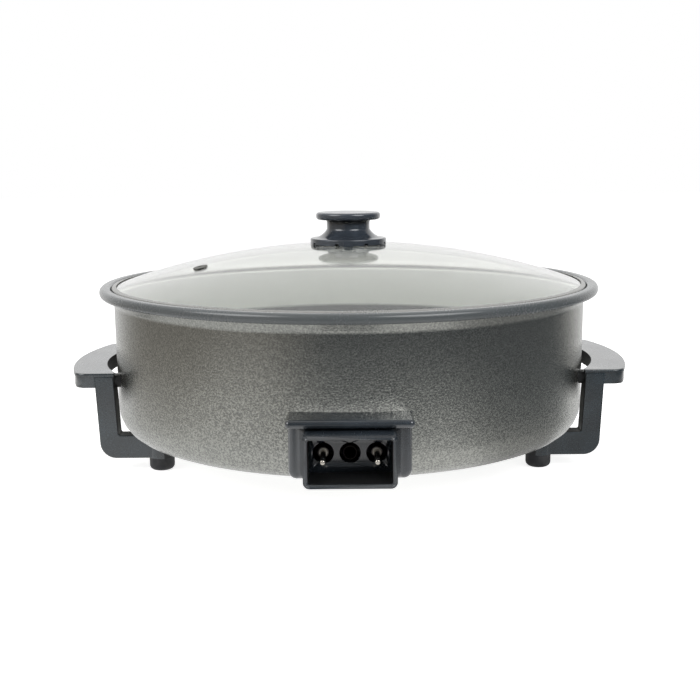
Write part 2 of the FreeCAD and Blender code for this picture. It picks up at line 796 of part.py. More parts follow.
def group(label, pieces):
    """One node of like pieces, each a solid of its own."""
    node = doc.addObject("Part::Compound", label)
    node.Links = pieces
    return keep(node, label)


# Screws through the casing wall into the guard
guard_screws = []
for across in (-1, 1):
    fixing = screw(f"guard_screw_{across + 1}", s.guard_screw_depth)
    lay_forward(fixing)
    bind(fixing, "Placement.Base.x", s.guard_screw_spacing * across / 2)
    bind(fixing, "Placement.Base.y", -guard_screw_seat)
    bind(fixing, "Placement.Base.z", s.guard_screw_height)
    guard_screws.append(fixing)
group("guard_screws", guard_screws)


# Handles: a D-shaped grip plate with a leg at each end, moulded in one
def grip_plan(sketch, inset):
    """The plan of the grip plate, drawn in by inset on its outer sides."""
    arc = s.grip_outer_arc - inset
    end = s.grip_half_length - inset
    corner = s.grip_corner - inset
    arc_middle = grip_reach - s.grip_outer_arc
    corner_x = chord(arc - corner, end - corner)
    spread = arc / (arc - corner)
    straight_end = arc_middle + corner_x
    touch_x = arc_middle + corner_x * spread
    touch_y = (end - corner) * spread
    inner_end = grip_inner_reach - s.grip_inner_arc + chord(s.grip_inner_arc, s.grip_inner_length)
    outline(sketch, [
        (inner_end, -end), (straight_end, -end), (touch_x, -touch_y), (touch_x, touch_y),
        (straight_end, end), (inner_end, end),
        (inner_end, s.grip_inner_length), (inner_end, -s.grip_inner_length),
    ], bows={1: (corner, 1), 2: (arc, 1), 3: (corner, 1), 6: (s.grip_inner_arc, -1)})


def outside_gap(point):
    """Whether a point of the grip lies clear of the arc along the finger gap."""
    middle = grip_inner_reach.value - s.grip_inner_arc.value
    return math.hypot(point.x - middle, point.y) > s.grip_inner_arc.value + TOLERANCE


def handle(side):
    body = new_body(f"handle_{side}")
    lean = (leg_top_inside - leg_foot_inside) / (grip_under - s.leg_arm_top)
    top_inside = leg_top_inside + lean * grip_plate
    base_inside = leg_foot_inside - lean * (s.leg_arm_top - s.leg_base)
    for end, along in (("front", -1), ("rear", 1)):
        piece = f"{side}_{end}"
        leg_face = new_sketch(body, "XZ_Plane", f"{piece}_leg_face", lift=s.grip_half_length * -along)
        outline(leg_face, [
            (foot_centre, s.leg_base),
            (base_inside + s.leg_width, s.leg_base, s.leg_corner),
            (top_inside + s.leg_width, s.grip_top - s.grip_skin),
            (top_inside, s.grip_top - s.grip_skin),
            (leg_foot_inside, s.leg_arm_top, s.leg_arm_round),
            (foot_centre, s.leg_arm_top),
        ])
        extrude(body, f"{piece}_leg", leg_face, s.leg_depth, reverse=along < 0)
        leg_back = s.grip_half_length - s.leg_depth
        for face, depth in (("outer", s.grip_half_length), ("inner", leg_back)):
            round_edges(body, f"{piece}_leg_{face}_edges", s.leg_edge, lambda p: (
                near(p.y, depth * along)))
    for end, along in (("front", -1), ("rear", 1)):
        piece = f"{side}_{end}"
        boss_plan = new_sketch(body, "XY_Plane", f"{piece}_boss_plan", lift=s.leg_base)
        circle(boss_plan, foot_centre, leg_centre * along, s.foot_radius)
        extrude(body, f"{piece}_boss", boss_plan, s.leg_arm_top - s.leg_base)
    plate = new_sketch(body, "XY_Plane", f"{side}_plate", lift=grip_under)
    grip_plan(plate, s.grip_lip)
    extrude(body, f"{side}_grip_plate", plate, grip_plate)
    skin = new_sketch(body, "XY_Plane", f"{side}_skin", lift=s.grip_top)
    grip_plan(skin, 0)
    extrude(body, f"{side}_grip_skin", skin, s.grip_skin, reverse=True)
    round_edges(body, f"{side}_skin_edge", s.grip_edge,
                lambda p: near(p.z, s.grip_top) and outside_gap(p))
    for end, along in (("front", -1), ("rear", 1)):
        piece = f"{side}_{end}"
        block_plan = new_sketch(body, "XY_Plane", f"{piece}_block_plan", lift=grip_under)
        near_side, far_side = sorted(
            (s.grip_block_start * along, s.grip_block_end * along), key=amount)
        outline(block_plan, rectangle(chord(casing_radius, s.grip_block_end) - s.cut_past,
                                      leg_top_inside + s.leg_width / 2, near_side, far_side))
        extrude(body, f"{piece}_block", block_plan, grip_plate)
    saddle(body, f"{side}_saddle")
    screw_hole = new_sketch(body, "XY_Plane", f"{side}_screw_holes")
    for along in (-1, 1):
        circle(screw_hole, foot_centre, leg_centre * along, s.screw_radius + s.hole_clearance)
    cut(body, f"{side}_screw_hole_cut", screw_hole, s.leg_arm_top, reverse=True)
    for along in (-1, 1):
        pilot = new_sketch(body, "YZ_Plane", f"{side}_pilot_{along + 1}", turn=screw_angle * along)
        circle(pilot, 0, grip_middle, s.screw_radius + s.bore_clearance)
        cut(body, f"{side}_pilot_cut_{along + 1}", pilot, casing_radius + s.screw_grip, reverse=True)
    return body


for side, turn in (("right", 0.0), ("left", 180.0)):
    keep(handle(side), f"handle_{side}", turn=turn)

# Screws through the casing wall into the handles
handle_screws = []
for number, angle in enumerate((screw_angle, -screw_angle, 180 + screw_angle, 180 - screw_angle)):
    fixing = screw(f"handle_screw_{number}", s.screw_grip)
    around = FreeCAD.Rotation(FreeCAD.Vector(0, 0, 1), angle)
    outward = FreeCAD.Rotation(FreeCAD.Vector(0, 1, 0), 90.0)
    fixing.Placement = FreeCAD.Placement(FreeCAD.Vector(), around.multiply(outward))
    seat = wall_inside(grip_middle - s.screw_head_radius) - s.head_clearance
    bind(fixing, "Placement.Base.x", seat * math.cos(math.radians(angle)))
    bind(fixing, "Placement.Base.y", seat * math.sin(math.radians(angle)))
    bind(fixing, "Placement.Base.z", grip_middle)
    handle_screws.append(fixing)
group("handle_screws", handle_screws)

# Feet, their screws and nuts
foot_screws = []
foot_nuts = []
for row_name, along in (("front", -1), ("rear", 1)):
    for side, across in (("left", -1), ("right", 1)):
        foot = turned(f"foot_{row_name}_{side}", [
            (s.foot_recess_radius, 0),
            (s.foot_radius, 0, s.foot_round),
            (s.foot_radius, s.leg_base),
            (s.screw_radius + s.hole_clearance, s.leg_base),
            (s.screw_radius + s.hole_clearance, s.foot_recess),
            (s.foot_recess_radius, s.foot_recess),
        ])
        keep(foot, f"foot_{row_name}_{side}", side=foot_centre * across,
             forward=leg_centre * -along)
        fixing = screw(f"foot_screw_{row_name}_{side}",
                       casing_floor + s.nut_height + s.screw_past_nut - s.foot_recess)
        nut = hexagon_nut(f"foot_nut_{row_name}_{side}", s.nut_flats, s.nut_height,
                          s.screw_radius + s.bore_clearance)
        for piece, height in ((fixing, s.foot_recess), (nut, casing_floor)):
            bind(piece, "Placement.Base.x", foot_centre * across)
            bind(piece, "Placement.Base.y", leg_centre * along)
            bind(piece, "Placement.Base.z", height)
        foot_screws.append(fixing)
        foot_nuts.append(nut)
group("foot_screws", foot_screws)
group("foot_nuts", foot_nuts)

# Glass dome
dome = new_body("glass_dome")
revolve(dome, "dome_shell", [
    (s.glass_hole_radius, glass_centre + chord(inner_arc, s.glass_hole_radius)),
    (glass_edge_radius, glass_under),
    (glass_edge_radius, s.glass_edge_height),
    (s.glass_hole_radius, glass_centre + chord(glass_arc, s.glass_hole_radius)),
], bows={0: (inner_arc, -1), 2: (glass_arc, 1)})
vent_hole = new_sketch(dome, "XY_Plane", "dome_vent_hole", lift=glass_under)
circle(vent_hole, s.vent_x, s.vent_y, s.vent_tube + s.vent_hole_clearance)
cut(dome, "dome_vent_cut", vent_hole, s.glass_top - glass_under, reverse=True)
keep(dome, "glass_dome")

# Steel band: a channel rolled round the edge of the glass
lip_radius = lid_radius - s.band_lip
lip_rise = chord(glass_arc, lip_radius) - chord(glass_arc, glass_edge_radius)
band_top = s.glass_edge_height + s.band_gap + s.band_sheet
band = turned("lid_band", [
    (lip_radius, band_under + lip_rise),
    (lid_radius, band_under, s.band_under_round),
    (lid_radius, band_top, s.band_top_round),
    (lip_radius, band_top + lip_rise),
    (lip_radius, band_top + lip_rise - s.band_sheet),
    (lid_radius - s.band_sheet, band_top - s.band_sheet, s.band_top_round - s.band_sheet),
    (lid_radius - s.band_sheet, band_under + s.band_sheet, s.band_under_round - s.band_sheet),
    (lip_radius, band_under + lip_rise + s.band_sheet),
])
keep(band, "lid_band")

# Steam vent: an eyelet rolled over on both sides of the glass, square to the dome
vent_radius = math.hypot(s.vent_x.value, s.vent_y.value)
vent_height = glass_centre + root(
    glass_arc * glass_arc - s.vent_x * s.vent_x - s.vent_y * s.vent_y)
rivet_top = -(s.glass + s.glass_clearance)
rivet_under = rivet_top - s.vent_sheet
vent = turned("vent_eyelet", [
    (s.vent_bore, rivet_under),
    (s.vent_rivet_flange, rivet_under),
    (s.vent_rivet_flange, rivet_top),
    (s.vent_tube, rivet_top),
    (s.vent_tube, s.glass_clearance),
    (s.vent_flange, s.glass_clearance),
    (s.vent_flange, s.glass_clearance + s.vent_sheet, s.vent_round),
    (s.vent_bore, s.glass_clearance + s.vent_sheet + s.vent_crown, s.vent_round),
])
keep(vent, "vent_eyelet", side=s.vent_x, up=vent_height, forward=-s.vent_y)
vent.Placement = FreeCAD.Placement(vent.Placement.Base, FreeCAD.Rotation(
    FreeCAD.Vector(-s.vent_y.value, s.vent_x.value, 0),
    math.degrees(math.asin(vent_radius / glass_arc.value))))

# Knob, its base ring, gasket, washer and screw
knob_hole = s.screw_radius + s.knob_hole_clearance
gasket_under = s.glass_top + s.glass_clearance
gasket_top = gasket_under + s.gasket_sheet
gasket = turned("knob_gasket", ring(knob_hole, s.gasket_radius, gasket_under, gasket_top))
keep(gasket, "knob_gasket")
base_under = gasket_under
base_top = base_under + s.knob_base_height
gasket_recess = s.gasket_radius + s.gasket_clearance
knob_base = new_body("knob_base")
revolve(knob_base, "base_ring", [
    (knob_hole, gasket_top),
    (gasket_recess, gasket_top),
    (gasket_recess, base_under),
    (s.knob_base_radius, base_under),
    (s.knob_base_radius, base_top, s.knob_base_round),
    (knob_hole, base_top),
])
lug_plan = new_sketch(knob_base, "XY_Plane", "base_lug_plan", lift=base_under)
outline(lug_plan, rectangle(-s.knob_lug_width / 2, s.knob_lug_width / 2,
                            -s.knob_base_radius - s.knob_lug_proud, s.knob_lug - s.knob_base_radius))
extrude(knob_base, "base_lug", lug_plan, s.knob_lug_drop, reverse=True)
notch = new_sketch(knob_base, "XZ_Plane", "base_notch_face", turn=s.knob_notch_turn.value)
outline(notch, rectangle(-s.knob_notch_width / 2, s.knob_notch_width / 2, base_under - s.cut_past,
                         base_under + s.knob_notch_height))
notch_cut = cut(knob_base, "base_notch", notch, s.knob_base_radius + s.cut_past, reverse=True)
knob_base_notches = knob_base.newObject("PartDesign::PolarPattern", "base_notches")
knob_base_notches.Originals = [notch_cut]
knob_base_notches.Axis = (notch, ["V_Axis"])
knob_base_notches.Angle = 360.0
knob_base_notches.Occurrences = KNOB_NOTCHES
knob_base.Tip = knob_base_notches
keep(knob_base, "knob_base")
knob_top = base_top + s.knob_height
disc_under = knob_top - s.knob_disc
thread_radius = s.screw_radius + s.bore_clearance
screw_end = knob_top - s.knob_cap
knob = turned("knob_grip", [
    (thread_radius, base_top),
    (s.knob_flare, base_top),
    (s.knob_neck, base_top + s.knob_flare_height),
    (s.knob_neck, disc_under, s.knob_neck_round),
    (s.knob_radius, disc_under, s.knob_round),
    (s.knob_radius, knob_top - s.knob_crown, s.knob_round),
    (0, knob_top),
    (0, screw_end),
    (thread_radius, screw_end),
], bows={1: (s.knob_flare_arc, -1)})
keep(knob, "knob_grip")
washer_top = glass_centre + chord(inner_arc, s.knob_washer_radius) - s.glass_clearance
lid_washer = turned("knob_washer", ring(
    s.screw_radius + s.hole_clearance, s.knob_washer_radius, washer_top - s.washer_sheet, washer_top))
keep(lid_washer, "knob_washer")
screw_seat = washer_top - s.washer_sheet
knob_screw = screw("knob_fixing", screw_end - s.knob_thread_spare - screw_seat)
keep(knob_screw, "knob_screw", up=screw_seat)

doc.recompute()
for item in doc.Objects:
    if {"Invalid", "Error"} & set(item.State):
        raise RuntimeError(f"{item.Label} failed: {item.State}")
os.makedirs("parts", exist_ok=True)
for node in NODES:
    if node.Shape.isNull() or not node.Shape.isValid():
        raise RuntimeError(f"{node.Label} has no valid shape")
for node in NODES:
    node.Shape.exportStep(f"parts/{node.Label}.step")
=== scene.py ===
import json
import math

import bmesh
import bpy
import numpy as np
from mathutils import Matrix, Vector


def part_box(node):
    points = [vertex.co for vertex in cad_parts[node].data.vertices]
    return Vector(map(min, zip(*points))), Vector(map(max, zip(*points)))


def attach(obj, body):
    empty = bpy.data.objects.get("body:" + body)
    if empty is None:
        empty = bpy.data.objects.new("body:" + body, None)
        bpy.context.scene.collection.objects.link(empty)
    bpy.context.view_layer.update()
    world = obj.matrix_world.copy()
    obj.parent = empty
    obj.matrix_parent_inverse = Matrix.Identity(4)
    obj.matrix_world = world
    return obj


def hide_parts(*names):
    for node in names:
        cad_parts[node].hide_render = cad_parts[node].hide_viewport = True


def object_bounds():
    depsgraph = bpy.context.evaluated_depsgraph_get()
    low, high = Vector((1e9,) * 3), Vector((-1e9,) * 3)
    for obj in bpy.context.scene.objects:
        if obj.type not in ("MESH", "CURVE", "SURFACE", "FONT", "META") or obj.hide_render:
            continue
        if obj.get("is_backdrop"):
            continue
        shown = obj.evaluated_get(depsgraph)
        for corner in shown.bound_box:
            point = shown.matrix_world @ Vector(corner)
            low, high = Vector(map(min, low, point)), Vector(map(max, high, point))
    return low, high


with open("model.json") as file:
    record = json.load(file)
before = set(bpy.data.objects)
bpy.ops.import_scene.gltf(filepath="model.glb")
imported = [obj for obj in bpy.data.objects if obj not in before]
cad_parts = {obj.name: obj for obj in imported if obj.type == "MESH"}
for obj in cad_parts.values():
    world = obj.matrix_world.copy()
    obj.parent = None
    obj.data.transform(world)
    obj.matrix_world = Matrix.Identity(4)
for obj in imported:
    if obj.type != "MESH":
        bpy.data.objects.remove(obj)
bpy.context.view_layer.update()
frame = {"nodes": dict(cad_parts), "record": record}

# Outer casing
# A deep bowl drawn from 1.2 mm steel sheet, with a dished floor and a flared top that carries the pan's rim.
# It is sprayed with hammer-finish enamel, whose metal flakes pull together into small worm-like ridges,
# lighter in tone and with a painted highlight on them.
mm = 0.001
rim_low, rim_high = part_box("cooking_pan")
rim_radius = (rim_high.x - rim_low.x) / 2
pan_axis = (rim_low.y + rim_high.y) / 2
pan_middle = np.array([0, pan_axis, 0])

casing_radius = rim_radius - 11.6 * mm
casing_foot_radius = casing_radius - 0.6 * mm
casing_sheet = 1.2 * mm
casing_base = 22.7 * mm
casing_floor = casing_base + casing_sheet
casing_corner = 24 * mm
casing_top = 142.4 * mm
dish_radius = 26 * mm
dish_foot_radius = 33 * mm
dish_height = 7 * mm
dish_round = 3 * mm
dish_slack = 0.6 * mm
wall_knee = 60 * mm
wall_knee_radius = casing_foot_radius + 0.2 * mm
flare_radius = rim_radius - 5.7 * mm
flare_start = 132.6 * mm
flare_bend = 0.3 * mm
flare_round = 7 * mm
window_half_width = 26.2 * mm
window_low = 40.9 * mm
window_high = 55.9 * mm
window_round = 4 * mm
window_cut = (-5 * mm, 15 * mm)
paint_tones = ((128, 129, 126), (138, 139, 135))
ridge_flake_and_highlight_tone = (172, 173, 167)
ridge_fade_heights = (60 * mm, 125 * mm)
ridge_strength = (1.2, 0.6)


def display(red, green, blue):
    """The shader's linear colour of a colour given as it shows on a screen, 0 to 255."""
    return tuple(((v / 255 + 0.055) / 1.055) ** 2.4 for v in (red, green, blue)) + (1.0,)


def grey(value):
    """A linear grey."""
    return (value, value, value, 1.0)


def rounded(corners, steps=6):
    """A line through corners (across, up, round), with an arc in place of each corner that has a round.

    Each arc touches both sides of its corner at round / tan(half the corner's angle) from it, and its
    middle lies on the bisector at round / sin(half the angle). The first and last corners stay sharp.
    """
    corners = np.array([(c + (0.0,))[:3] for c in corners])
    point, radius = corners[:, :2], corners[:, 2:]
    back = np.roll(point, 1, 0) - point
    ahead = np.roll(point, -1, 0) - point
    back /= np.linalg.norm(back, axis=1, keepdims=True)
    ahead /= np.linalg.norm(ahead, axis=1, keepdims=True)
    half = np.arccos(np.clip((back * ahead).sum(1), -1, 1)) / 2
    bisector = back + ahead
    bisector /= np.maximum(np.linalg.norm(bisector, axis=1, keepdims=True), 1e-9)
    half = np.maximum(half, 1e-6)[:, None]
    middle = point + bisector * radius / np.sin(half)
    first = point + back * radius / np.tan(half) - middle
    last = point + ahead * radius / np.tan(half) - middle
    share = np.linspace(0, 1, steps + 1)[None, :, None]
    spread = np.pi - 2 * half[:, :, None]
    weight_first = np.sin((1 - share) * spread) / np.sin(spread)
    weight_last = np.sin(share * spread) / np.sin(spread)
    line = middle[:, None] + weight_first * first[:, None] + weight_last * last[:, None]
    line[radius[:, 0] == 0] = point[radius[:, 0] == 0][:, None]
    line = line.reshape(-1, 2)
    fresh = np.linalg.norm(np.diff(line, axis=0), axis=1) > 1e-7
    return line[np.append(True, fresh)]


def closed(profile):
    """A profile that comes back to its first point."""
    return np.append(profile, profile[:1], 0)


def turned(profile, steps=360):
    """A profile of radii and heights carried once round the upright axis: x is r cos a and y is r sin a."""
    angle = np.linspace(0, 2 * np.pi, steps + 1)[:, None]
    radius, height = profile.T
    return np.stack([radius * np.cos(angle), radius * np.sin(angle), height + 0 * angle], -1)


def surface(name, *grids):
    """A piece made of grids of points, each with a face between every four neighbours."""
    mesh = bpy.data.meshes.new(name)
    points, faces, start = [], [], 0
    for grid in grids:
        rows, columns = grid.shape[:2]
        index = start + np.arange(rows * columns).reshape(rows, columns)
        corners = (index[:-1, :-1], index[1:, :-1], index[1:, 1:], index[:-1, 1:])
        faces.append(np.stack([c.ravel() for c in corners], -1))
        points.append(grid.reshape(-1, 3))
        start += rows * columns
    mesh.from_pydata(np.concatenate(points).tolist(), [], np.concatenate(faces).tolist())
    return finished(name, mesh)


def finished(name, mesh, sharp=32.0):
    """Makes a mesh an object of the scene.

    Equal points are merged, which closes seams and poles, faces are turned outwards, and edges over
    the sharp angle stay hard. Normals are weighted by face size, so flat faces shade flat.
    """
    shape = bmesh.new()
    shape.from_mesh(mesh)
    bmesh.ops.remove_doubles(shape, verts=shape.verts, dist=1e-6)
    bmesh.ops.recalc_face_normals(shape, faces=shape.faces)
    shape.to_mesh(mesh)
    shape.free()
    mesh.shade_smooth()
    mesh.set_sharp_from_angle(angle=math.radians(sharp))
    piece = bpy.data.objects.new(name, mesh)
    bpy.context.scene.collection.objects.link(piece)
    weighted = piece.modifiers.new("flat faces shade flat", "WEIGHTED_NORMAL")
    weighted.keep_sharp = True
    return piece


def pierced(piece, name, *grids):
    """Takes the space inside closed grids out of a piece."""
    cutter = surface(name, *grids)
    hole = piece.modifiers.new("hole", "BOOLEAN")
    hole.object = cutter
    hole.solver = "EXACT"
    piece.modifiers.move(len(piece.modifiers) - 1, 0)
    bpy.context.view_layer.update()
    whole = piece.evaluated_get(bpy.context.evaluated_depsgraph_get())
    mesh = bpy.data.meshes.new_from_object(whole)
    piece.modifiers.remove(hole)
    piece.data = mesh
    bpy.data.objects.remove(cutter)


def add(tree, kind, inputs=None, **settings):
    """Adds a shader node. Inputs go from a socket's name or number to a value or another node's output."""
    node = tree.nodes.new(kind)
    for name, value in settings.items():
        setattr(node, name, value)
    for key, value in (inputs or {}).items():
        if isinstance(value, bpy.types.NodeSocket):
            tree.links.new(value, node.inputs[key])
        else:
            node.inputs[key].default_value = value
    return node


def new_material(name):
    """An empty material and its node tree."""
    material = bpy.data.materials.new(name)
    material.use_nodes = True
    material.node_tree.nodes.clear()
    return material, material.node_tree


def surface_shader(tree, inputs):
    """Gives the material one Principled shader."""
    shader = add(tree, "ShaderNodeBsdfPrincipled", inputs)
    add(tree, "ShaderNodeOutputMaterial", {"Surface": shader.outputs[0]})


def on_object(tree):
    """The place on the object, as a pattern reads it."""
    return add(tree, "ShaderNodeTexCoord").outputs["Object"]


def parts_of(tree, vector):
    """A vector's parts X, Y and Z."""
    return add(tree, "ShaderNodeSeparateXYZ", {0: vector}).outputs


def count(tree, operation, *values):
    """A Math node's result."""
    return add(tree, "ShaderNodeMath", dict(enumerate(values)), operation=operation).outputs[0]


def between(tree, value, ends, results=(0.0, 1.0), **settings):
    """The first result up to the first end, the second past the second, and an even change between them."""
    return add(tree, "ShaderNodeMapRange", {
        "Value": value, "From Min": ends[0], "From Max": ends[1],
        "To Min": results[0], "To Max": results[1]}, **settings).outputs[0]


def blend(tree, share, first, second):
    """The first colour where the share is 0 and the second where it is 1."""
    node = add(tree, "ShaderNodeMix", {"Factor": share, "A": first, "B": second}, data_type="RGBA")
    return node.outputs["Result"]


def ramp(tree, factor, *stops):
    """A colour ramp with stops of (place, colour)."""
    node = add(tree, "ShaderNodeValToRGB", {0: factor})
    elements = node.color_ramp.elements
    while len(elements) < len(stops):
        elements.new(1.0)
    for element, (place, colour) in zip(elements, stops):
        element.position = place
        element.color = colour
    return node.outputs[0]


def noise(tree, place, scale, detail, distortion=0.0):
    """Cloudy noise, with about scale clouds in each metre."""
    return add(tree, "ShaderNodeTexNoise", {
        "Vector": place, "Scale": scale, "Detail": detail, "Distortion": distortion}).outputs[0]


def bump(tree, height, strength, distance):
    """The normal of a surface with this relief."""
    return add(tree, "ShaderNodeBump", {
        "Strength": strength, "Distance": distance, "Height": height}).outputs[0]


def hammered_paint():
    """Metallic enamel in worm-like ridges: noise cut off on both sides, raised where it is high, and lighter
    in colour there, partly the flakes' own tone and partly a painted highlight.

    The ridges are strong low on the wall and fade towards its top. Their lighter colour does the same, a
    painted reflection of the bright floor, which the low wall catches.
    """
    material, tree = new_material("hammered paint")
    place = on_object(tree)
    worms = noise(tree, place, scale=780.0, detail=1.5, distortion=0.6)
    low_wall_gain = between(tree, parts_of(tree, place)["Z"], ridge_fade_heights, ridge_strength)
    # Painted highlight and reflection: the ridges' lighter colour, strongest low on the wall.
    ridges = count(tree, "MULTIPLY", ramp(tree, worms, (0.4, grey(0)), (0.62, grey(1))), low_wall_gain)
    dark, light = paint_tones
    drift = noise(tree, place, scale=11.0, detail=3.0)
    cloud = ramp(tree, drift, (0.3, display(*dark)), (0.7, display(*light)))
    relief = bump(tree, count(tree, "MULTIPLY", worms, low_wall_gain), strength=0.7, distance=0.35 * mm)
    surface_shader(tree, {
        "Base Color": blend(tree, ridges, cloud, display(*ridge_flake_and_highlight_tone)), "Metallic": 0.92, "Roughness": 0.2,
        "Normal": relief})
    return material


casing = surface("casing_bowl", turned(closed(rounded([
    (0, casing_base + dish_height),
    (dish_radius, casing_base + dish_height, dish_round),
    (dish_foot_radius, casing_base, dish_round + casing_sheet),
    (casing_foot_radius, casing_base, casing_corner),
    (wall_knee_radius, wall_knee),
    (casing_radius, flare_start, flare_round),
    (flare_radius, casing_top),
    (flare_radius - casing_sheet, casing_top),
    (casing_radius - casing_sheet, flare_start + flare_bend, flare_round + casing_sheet),
    (wall_knee_radius - casing_sheet, wall_knee),
    (casing_foot_radius - casing_sheet, casing_floor, casing_corner - casing_sheet),
    (dish_foot_radius + dish_slack, casing_floor, dish_round),
    (dish_radius + dish_slack, casing_floor + dish_height, dish_round + casing_sheet),
    (0, casing_floor + dish_height),
]))) + pan_middle)

# The opening in the front wall, behind the socket guard, for the pins and the probe.
window = rounded([
    (0, window_low), (window_half_width, window_low, window_round),
    (window_half_width, window_high, window_round), (-window_half_width, window_high, window_round),
    (-window_half_width, window_low, window_round), (0, window_low)])
window_reach = pan_axis - casing_radius + np.array(window_cut)
window_wall = np.stack(np.broadcast_arrays(window[:, None, 0], window_reach, window[:, None, 1]), -1)
window_centres = [(0, reach, (window_low + window_high) / 2) for reach in window_reach]
window_ends = [np.stack([np.broadcast_to(centre, (len(window), 3)), window_wall[:, end]], 1)
               for end, centre in enumerate(window_centres)]
pierced(casing, "casing_window", window_wall, *window_ends)
casing.data.materials.clear()
casing.data.materials.append(hammered_paint())
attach(casing, "root")
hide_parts("outer_casing")

# Cooking pan
# A pan pressed from 2 mm aluminium, bare on its wall and coated on its floor. It hangs in the casing by its
# rim, which steps down for the lid and is rolled over outside it into a dark, glossier coated bead.
pan_floor_under = 54 * mm
pan_floor = 57 * mm
pan_sheet = 2 * mm
pan_inner = 191.6 * mm
pan_corner = 28 * mm
lid_seat = 140.07 * mm
lid_seat_radius = rim_radius - 9.5 * mm
seat_round = 1.6 * mm
step_round = 3 * mm
roll_inner = lid_seat_radius + pan_sheet
roll_lip = roll_inner + 2.5 * mm
rim_top = rim_high.z
rim_under = rim_top - 8 * mm
rim_round = 3.6 * mm
rim_tone = (80, 84, 86)
floor_tone = (52, 62, 66)
wall_tone = (246, 250, 242)
wall_foot_tone = (34, 48, 52)
coat_edge = 101.5 * mm
coat_fade = 1.4 * mm


def polygon_centres(piece):
    """The centres of a piece's polygons seen from the pan's middle, one in each row."""
    centres = np.empty(3 * len(piece.data.polygons))
    piece.data.polygons.foreach_get("center", centres)
    return centres.reshape(-1, 3) - pan_middle


def fine_marks(name):
    """A group of faint scratches and smudges: a roughness to use and a height for a bump.

    The roughness is the given one plus the spread times (smudges + scratches - 1).
    """
    group = bpy.data.node_groups.new(name, "ShaderNodeTree")
    for socket in ("Roughness", "Spread", "Scale"):
        group.interface.new_socket(socket, in_out="INPUT", socket_type="NodeSocketFloat")
    for socket in ("Roughness", "Height"):
        group.interface.new_socket(socket, in_out="OUTPUT", socket_type="NodeSocketFloat")
    given = add(group, "NodeGroupInput").outputs
    place = on_object(group)
    across = add(group, "ShaderNodeMapping", {"Vector": place, "Scale": (1.0, 0.08, 1.0)}).outputs[0]
    scratches = noise(group, across, given["Scale"], detail=3.0)
    both = count(group, "ADD", noise(group, place, scale=28.0, detail=4.0), scratches)
    change = count(group, "ADD", both, -1.0)
    rough = count(group, "MULTIPLY_ADD", change, given["Spread"], given["Roughness"])
    add(group, "NodeGroupOutput", {"Roughness": rough, "Height": scratches})
    return group


marks = fine_marks("fine marks")


def worn(tree, roughness, spread, scale=900.0):
    """The fine marks with one material's own values."""
    node = add(tree, "ShaderNodeGroup", node_tree=marks)
    for socket, value in (("Roughness", roughness), ("Spread", spread), ("Scale", scale)):
        node.inputs[socket].default_value = value
    return node.outputs


def pan_coat(name, tone, roughness, specular, coat):
    """Baked coat on the pan, with fine marks."""
    material, tree = new_material(name)
    marked = worn(tree, roughness, spread=0.15)
    surface_shader(tree, {
        "Base Color": display(*tone), "Roughness": marked["Roughness"], "Specular IOR Level": specular,
        "Coat Weight": coat, "Coat Roughness": 0.1,
        "Normal": bump(tree, marked["Height"], strength=0.05, distance=0.1 * mm)})
    return material


def satin_wall():
    """Bare satin aluminium of the pan's wall, darker where the coat of the floor begins."""
    material, tree = new_material("satin aluminium")
    height = parts_of(tree, on_object(tree))["Z"]
    bare = between(tree, height, (coat_edge - coat_fade, coat_edge + coat_fade))
    surface_shader(tree, {
        "Base Color": blend(tree, bare, display(*wall_foot_tone), display(*wall_tone)),
        "Roughness": worn(tree, roughness=0.42, spread=0.15)["Roughness"]})
    return material


pan = surface("pan_with_rolled_rim", turned(closed(rounded([
    (0, pan_floor_under),
    (pan_inner + pan_sheet, pan_floor_under, pan_corner + pan_sheet),
    (pan_inner + pan_sheet, lid_seat - pan_sheet),
    (roll_inner, lid_seat - pan_sheet, seat_round),
    (roll_inner, rim_top - pan_sheet, rim_round - pan_sheet),
    (rim_radius - pan_sheet, rim_top - pan_sheet, rim_round - pan_sheet),
    (rim_radius - pan_sheet, rim_under + pan_sheet, rim_round - pan_sheet),
    (roll_lip, rim_under + pan_sheet),
    (roll_lip, rim_under),
    (rim_radius, rim_under, rim_round),
    (rim_radius, rim_top, rim_round),
    (lid_seat_radius, rim_top, step_round),
    (lid_seat_radius, lid_seat),
    (pan_inner, lid_seat, seat_round),
    (pan_inner, pan_floor, pan_corner),
    (0, pan_floor),
]))) + pan_middle)
pan.data.materials.append(pan_coat("rim coat", rim_tone, roughness=0.26, specular=0.45, coat=0.35))
pan.data.materials.append(satin_wall())
pan.data.materials.append(pan_coat("floor coat", floor_tone, roughness=0.7, specular=0.2, coat=0.0))

# The faces inside the pan and on the lid's seat are bare, those of the floor and its corner have the floor
# coat, and all the others have the rim coat.
slack = 0.5 * mm
out_x, out_y, height = polygon_centres(pan).T
out = np.hypot(out_x, out_y)
inside = (out < pan_inner + slack) & (height > pan_floor - slack)
on_seat = (out < lid_seat_radius) & (height > lid_seat - slack)
zone = np.where(inside | on_seat, np.where(height < coat_edge, 2, 1), 0)
pan.data.polygons.foreach_set("material_index", zone.astype(np.int32))
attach(pan, "root")
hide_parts("cooking_pan")

# Glass dome
# A shallow cap of 4 mm tempered glass, clear with a faint green tint, bent to shape and ground at its edge.
# It rests in the step of the pan's rim, and the knob's screw goes through the hole at its crown.
glass_radius = 608.21 * mm
glass_middle = -429.41 * mm
glass_sheet = 4 * mm
glass_edge = lid_seat_radius - 2.3 * mm
glass_tint = (0.992, 0.998, 0.972, 1.0)
screw_hole = 4 * mm


def cap(radius, reach):
    """The height of the dome's sphere of this radius at a distance from the axis."""
    return glass_middle + np.sqrt(radius ** 2 - reach ** 2)


def dome_glass():
    """Tempered glass with a faint green tint."""
    material, tree = new_material("dome glass")
    surface_shader(tree, {
        "Base Color": glass_tint, "Roughness": 0.0, "IOR": 1.52, "Transmission Weight": 1.0})
    return material


